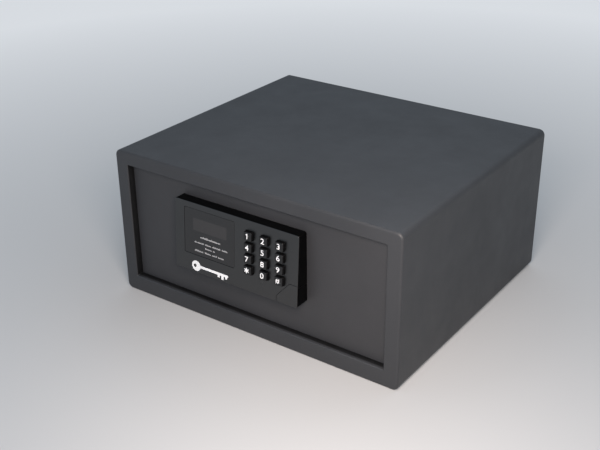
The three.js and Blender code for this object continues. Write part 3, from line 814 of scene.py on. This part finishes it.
INK_SHIFT = (-0.8, 0.15)
CHAR_H = 7.0
for i, label in enumerate(KEYS):
    mat = key_cap(label, KEY_X[i % 3], KEY_V[i // 3])
    base = KEY_PROUD - 0.02 - DISH
    body = "cap_" + label
    if label == "star":
        bm = bmesh.new()
        out = star_outline(*INK_SHIFT, 3.55, 0.68)
        # one prism over the outline, its lower and upper faces lifted to the dish at each outline point so the thin ink
        # follows it
        prism(bm, out, lambda x, v: base + dish(x, v) - 0.05, lambda x, v: base + dish(x, v) + 0.06)
        bmesh.ops.recalc_face_normals(bm, faces=bm.faces)
        bmesh.ops.triangulate(bm, faces=[f for f in bm.faces if len(f.verts) > 4])
        me = bpy.data.meshes.new("print_star")
        bm.to_mesh(me)
        bm.free()
        ink_object("print_star", me, mat, body)
    elif label == "1":
        x, y = INK_SHIFT
        one = [(0.85, -3.35), (0.85, 3.35), (-0.1, 3.35), (-1.65, 2.15), (-1.65, 1.05), (-0.4, 1.85), (-0.4, -3.35)]
        bm = bmesh.new()
        prism(bm, [(x + a, y + b) for a, b in reversed(one)], lambda x, v: base + dish(x, v) - 0.05, lambda x, v: base + dish(x, v) + 0.06)
        bmesh.ops.recalc_face_normals(bm, faces=bm.faces)
        bmesh.ops.triangulate(bm, faces=[f for f in bm.faces if len(f.verts) > 4])
        me = bpy.data.meshes.new("print_1")
        bm.to_mesh(me)
        bm.free()
        ink_object("print_1", me, mat, body)
    elif label == "hash":
        printed("print_hash", "#", 6.6, mat, body, bold=0.05, lift=base, depth=0.06, follow=dish, centre=INK_SHIFT, wide=1.05)
    else:
        printed("print_" + label, "6" if label == "9" else label, CHAR_H, mat, body, bold=0.08, lift=base, depth=0.06, follow=dish, centre=INK_SHIFT, wide=1.14,
                turn=label == "9")


# ---------------------------------------------------------------------------
# generic marks on the panel: rows of small blocks in place of the words, and a plain key pictogram
def flat_marks(name, polys, n0, n1, body="door"):
    bm = bmesh.new()
    for pts in polys:
        prism(bm, pts, n0, n1)
    bmesh.ops.recalc_face_normals(bm, faces=bm.faces)
    me = bpy.data.meshes.new(name)
    bm.to_mesh(me)
    bm.free()
    return ink_object(name, me, PANEL, body, "ink_fine")


def word(x0, x1, v, h, rnd):
    """One greeked word: blocks the size of letters, some taller, none of them a letter."""
    out = []
    x = x0
    while x < x1 - 0.5:
        w = min(rnd.choice((0.85, 1.1, 1.25, 1.5)) * h / 2.3, x1 - x)
        t = h if rnd.random() < 0.34 else h * 0.70
        out.append(rrect(x, x + w, v - h / 2, v - h / 2 + t, min(w, t) * 0.28, 2))
        x += w + 0.34 * h / 2.3
    return out


rnd = random.Random(11)
blocks = []
for v, h, spans in (
    (49.0, 2.7, ((-66.5, -35.3),)),
    (41.1, 2.15, ((-76.0, -61.3), (-59.3, -49.6), (-47.6, -34.6), (-32.6, -23.8))),
    (35.8, 2.15, ((-59.0, -49.0), (-46.6, -43.4))),
    (29.9, 2.15, ((-75.6, -61.8), (-59.6, -50.2), (-48.2, -40.6), (-38.6, -29.8))),
):
    for x0, x1 in spans:
        blocks += word(x0, x1, v, h, rnd)
flat_marks("greeked_lines", blocks, -0.16, -0.10)


def pictogram():
    """A plain key lying on its side: round bow with a hole, straight blade, three teeth."""
    z0, z1 = -0.03, 0.035
    cx, cv = -73.5, 8.6
    bow = [(cx + 6.9 * math.cos(a), cv + 6.9 * math.sin(a)) for a in [2 * math.pi * i / 48 for i in range(48)]]
    hole = [(cx - 1.9 + 2.3 * math.cos(a), cv + 2.3 * math.sin(a)) for a in [2 * math.pi * i / 28 for i in range(28)]]
    e = -22.5
    b = 1.7
    blade = [(cx + 5, cv - b), (e - 17, cv - b), (e - 17, cv - 4.6), (e - 13.6, cv - 4.6), (e - 13.6, cv - b), (e - 11.2, cv - b), (e - 11.2, cv - 6.4),
             (e - 7.4, cv - 6.4), (e - 7.4, cv - b), (e - 5.2, cv - b), (e - 5.2, cv - 4.2), (e - 2.4, cv - 4.2), (e - 2.4, cv - b), (e - 1.5, cv - b), (e, cv), (e - 1.5, cv + b), (cx + 5, cv + b)]
    bm = bmesh.new()
    prism(bm, bow, z0, z1)
    ob = to_object("key_pictogram", bm, M["ink"], smooth=False)
    b2 = bmesh.new()
    prism(b2, blade, z0, z1)
    b3 = bmesh.new()
    prism(b3, hole, -1, 1)
    tools = [("UNION", cutter("blade", b2)), ("DIFFERENCE", cutter("hole", b3))]
    for op, c in tools:
        md = ob.modifiers.new("b", "BOOLEAN")
        md.operation, md.solver, md.object = op, "EXACT", c
    bake_modifiers(ob)
    for _, c in tools:
        bpy.data.objects.remove(c)
    ob.data.transform(PANEL)
    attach(ob, "door")


pictogram()

# ---------------------------------------------------------------------------
# floor, light, camera
def floor():
    bm = bmesh.new()
    R = 9.0
    n = 96
    c = bm.verts.new((0, 0, 0))
    ring = [bm.verts.new((R * math.cos(2 * math.pi * i / n), R * math.sin(2 * math.pi * i / n), 0)) for i in range(n)]
    for i in range(n):
        bm.faces.new((c, ring[i], ring[(i + 1) % n]))
    me = bpy.data.meshes.new("studio_floor")
    bm.to_mesh(me)
    bm.free()
    ob = bpy.data.objects.new("studio_floor", me)
    bpy.context.scene.collection.objects.link(ob)
    ob.location.z = -0.0002
    m, nt, b = new_material("studio_floor")
    v = coords(nt)
    nt.links.new(ramp(nt, noise(nt, v, 1.2, 2), [(0.3, (0.455, 0.459, 0.467)), (0.7, (0.467, 0.470, 0.478))]), b.inputs["Base Color"])
    b.inputs["Roughness"].default_value = 0.62
    b.inputs["Specular IOR Level"].default_value = 0.3
    # painted light: the floor glows, more strongly further from the middle, standing in for a brighter far backdrop
    ln = nt.nodes.new("ShaderNodeVectorMath")
    ln.operation = "LENGTH"
    nt.links.new(v, ln.inputs[0])
    nt.links.new(remap(nt, ln.outputs["Value"], 0.10, 0.50, 0.3, 1.5), b.inputs["Emission Strength"])
    b.inputs["Emission Color"].default_value = (0.97, 0.98, 1.0, 1)
    me.materials.append(m)


floor()

world = bpy.data.worlds.new("studio")
bpy.context.scene.world = world
world.use_nodes = True
bg = world.node_tree.nodes["Background"]
bg.inputs["Color"].default_value = (0.78, 0.89, 1.0, 1)
bg.inputs["Strength"].default_value = 0.42


def area(name, loc, target, size, energy, color, spread=180):
    li = bpy.data.lights.new(name, "AREA")
    li.shape = "RECTANGLE"
    li.size, li.size_y = size
    li.energy = energy
    li.color = color
    li.spread = math.radians(spread)
    ob = bpy.data.objects.new(name, li)
    bpy.context.scene.collection.objects.link(ob)
    ob.location = loc
    ob.rotation_mode = "QUATERNION"
    ob.rotation_quaternion = (Vector(target) - Vector(loc)).to_track_quat("-Z", "Y")
    ob.visible_camera = False
    return ob


area("overhead", (0.1, 1.0, 2.2), (0, 0, 0.1), (2.4, 1.4), 7.5, (0.80, 0.90, 1.0))
area("front_softbox", (-0.3, -1.9, 0.45), (0, 0, 0.1), (2.6, 0.7), 4.0, (0.64, 0.80, 1.0))
area("near_right", (0.40, -0.62, 0.50), (0.15, -0.15, 0.12), (0.25, 0.25), 3.0, (1.0, 0.87, 0.78), 120)

yaw, pitch, roll = 0.627, 0.463, -0.011
bvec = Vector((math.sin(yaw) * math.cos(pitch), -math.cos(yaw) * math.cos(pitch), math.sin(pitch)))
fwd = -bvec
right = fwd.cross(Vector((0, 0, 1))).normalized()
up = right.cross(fwd).normalized()
c, s = math.cos(roll), math.sin(roll)
right, up = c * right + s * up, -s * right + c * up
cam_data = bpy.data.cameras.new("camera")
cam = bpy.data.objects.new("camera", cam_data)
bpy.context.scene.collection.objects.link(cam)
cam_data.sensor_width = 36.0
cam_data.lens = 998.519 * 36.0 / 600.0
cam_data.clip_start, cam_data.clip_end = 0.02, 60
rot = Matrix((right, up, bvec)).transposed().to_4x4()
cam.matrix_world = Matrix.Translation((0.664923, -0.993262, 0.673890)) @ rot
bpy.context.scene.camera = cam
bpy.context.scene.view_settings.view_transform = "Standard"
